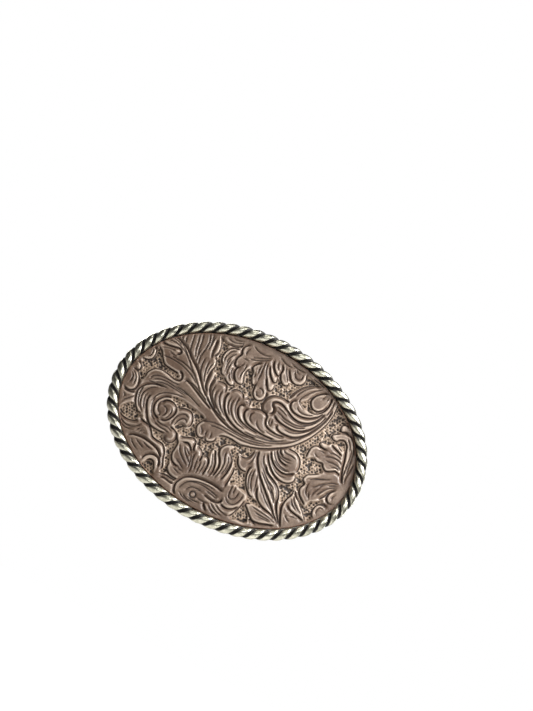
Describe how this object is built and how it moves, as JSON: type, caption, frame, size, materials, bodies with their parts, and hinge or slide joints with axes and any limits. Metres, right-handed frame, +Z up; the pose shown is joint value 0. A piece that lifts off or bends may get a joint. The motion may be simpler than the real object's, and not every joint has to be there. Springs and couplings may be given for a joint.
{
  "type": "belt buckle",
  "caption": "Oval belt buckle with a floral tooled leather inlay in a silver rope edge, a hinged bail and a hook behind.",
  "frame": {"origin": "middle of the back plate's back surface, where the belt lies against the buckle", "axes": "+X along the long side of the oval, towards the bail; +Y out of the back, towards the wearer; +Z up as worn, so the face looks along -Y"},
  "size_m": [0.094, 0.0181, 0.0696],
  "materials": {
    "nickel_plate": "satin nickel with fine handling scratches",
    "contact_cement": "dried contact cement",
    "tooled_leather": "hand tooled, antiqued dark in the cuts, waxed",
    "antiqued_silver": "polished strands, blackened between the strands",
    "steel_wire": "drawn wire, light wear",
    "nickel_wire": "drawn wire, nickel plated",
    "brass_rivet": "hammered rivet head, dulled"
  },
  "bodies": {
    "buckle": {"back_plate": "nickel_plate", "adhesive_film": "contact_cement", "leather_inlay": "tooled_leather", "rope_edge": "antiqued_silver", "hinge_bracket": "nickel_plate", "hinge_pin": "steel_wire", "hinge_rivet_upper": "brass_rivet", "hinge_rivet_lower": "brass_rivet", "hook_pad": "nickel_plate", "hook": "steel_wire"},
    "bail": {"bail": "nickel_wire"}
  },
  "joints": [
    {"name": "bail_swing", "type": "hinge", "parent": "buckle", "child": "bail", "pos_m": [0.01284, 0.00407, 0], "axis": [0, 0, 1], "range_deg": [-4, 180]}
  ]
}
